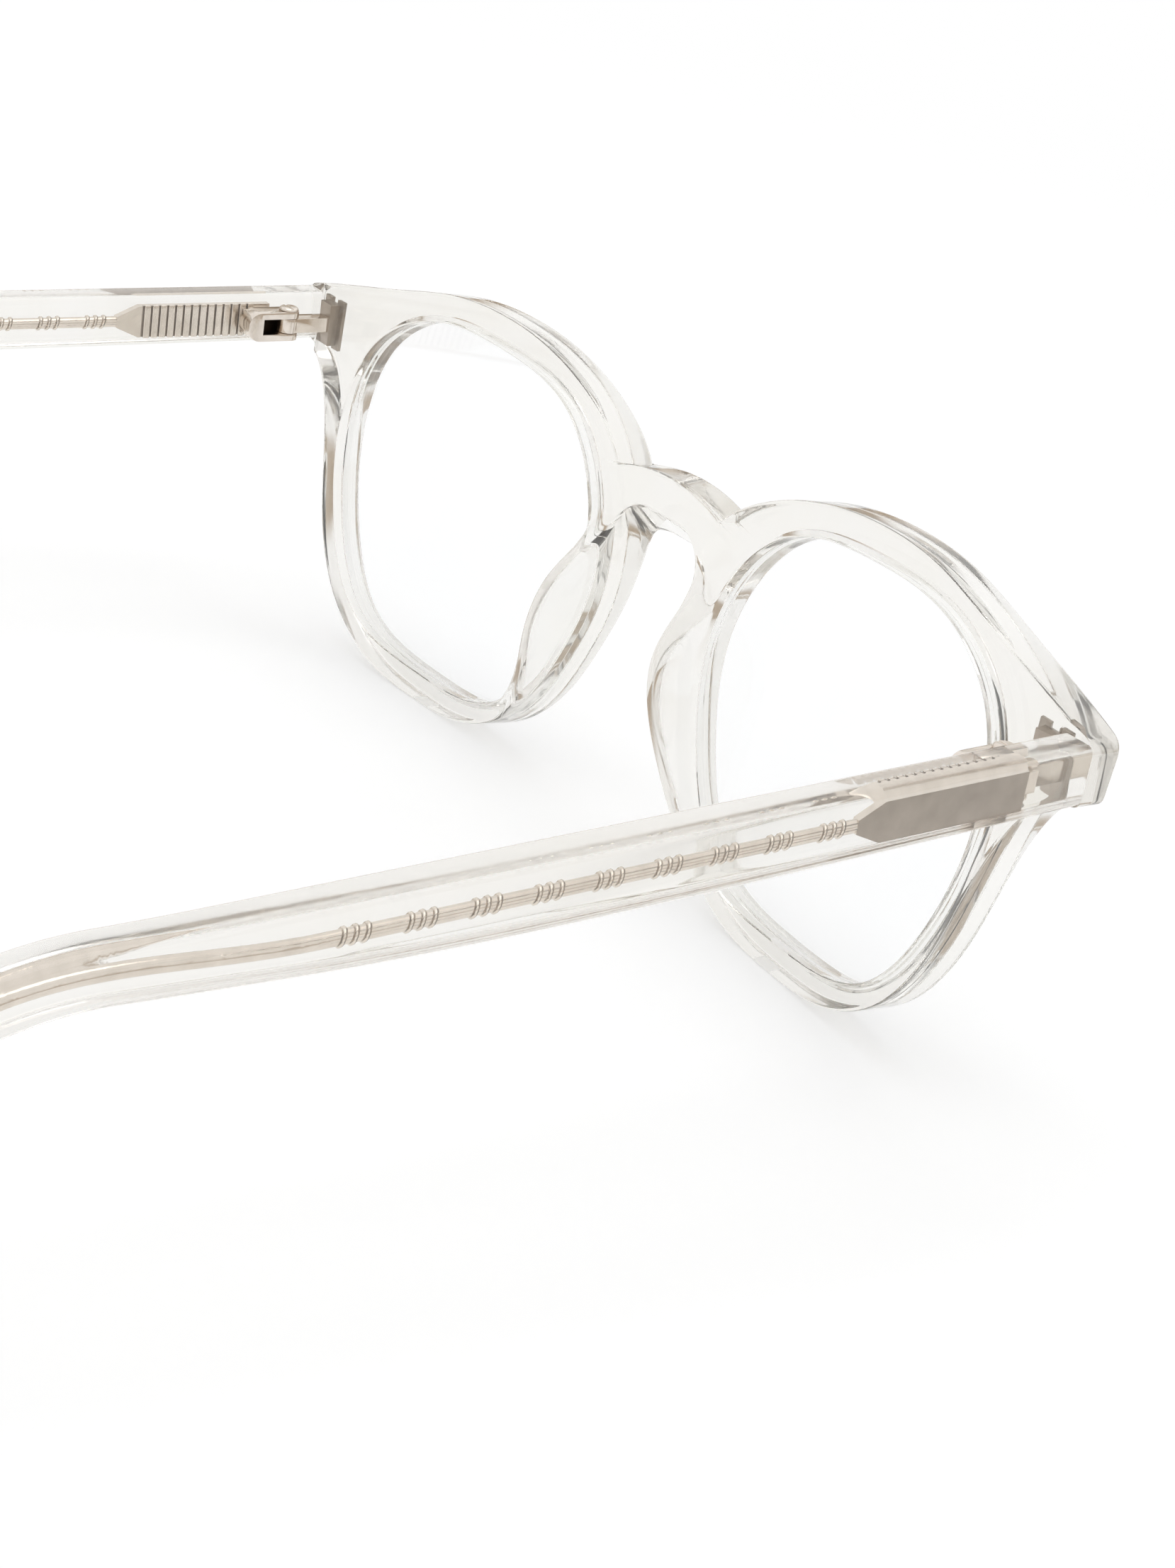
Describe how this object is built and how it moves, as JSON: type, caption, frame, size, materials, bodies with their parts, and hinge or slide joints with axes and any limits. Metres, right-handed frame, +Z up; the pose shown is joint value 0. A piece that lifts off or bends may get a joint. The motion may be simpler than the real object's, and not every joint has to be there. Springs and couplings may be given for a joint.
{
  "type": "eyeglasses",
  "caption": "Clear acetate eyeglasses standing open: rounded lens openings, saddle bridge with built-in nose pads, and wire-cored temples on exposed pin hinges.",
  "frame": {"origin": "middle of the footprint of the glasses standing open, on the plane that the rims and the temple tips rest on", "axes": "+X towards the wearer's left, +Y back along the temples, +Z up"},
  "size_m": [0.148, 0.1444, 0.049],
  "materials": {
    "acetate": "gloss",
    "lens": "gloss",
    "nickel_silver": "satin"
  },
  "bodies": {
    "front": {"front_frame": "acetate", "left_nose_pad": "acetate", "right_nose_pad": "acetate", "left_lens": "lens", "right_lens": "lens", "left_front_hinge": "nickel_silver", "right_front_hinge": "nickel_silver"},
    "left_temple": {"left_temple": "acetate", "left_temple_core": "nickel_silver", "left_temple_hinge": "nickel_silver", "left_hinge_screw": "nickel_silver"},
    "right_temple": {"right_temple": "acetate", "right_temple_core": "nickel_silver", "right_temple_hinge": "nickel_silver", "right_hinge_screw": "nickel_silver"}
  },
  "joints": [
    {"name": "left_fold", "type": "hinge", "parent": "front", "child": "left_temple", "pos_m": [0.06531, -0.05636, 0.03757], "axis": [0, 0.1063, 0.9943], "range_deg": [0, 91]},
    {"name": "right_fold", "type": "hinge", "parent": "front", "child": "right_temple", "pos_m": [-0.06531, -0.05636, 0.03757], "axis": [0, -0.1063, -0.9943], "range_deg": [0, 80]}
  ]
}
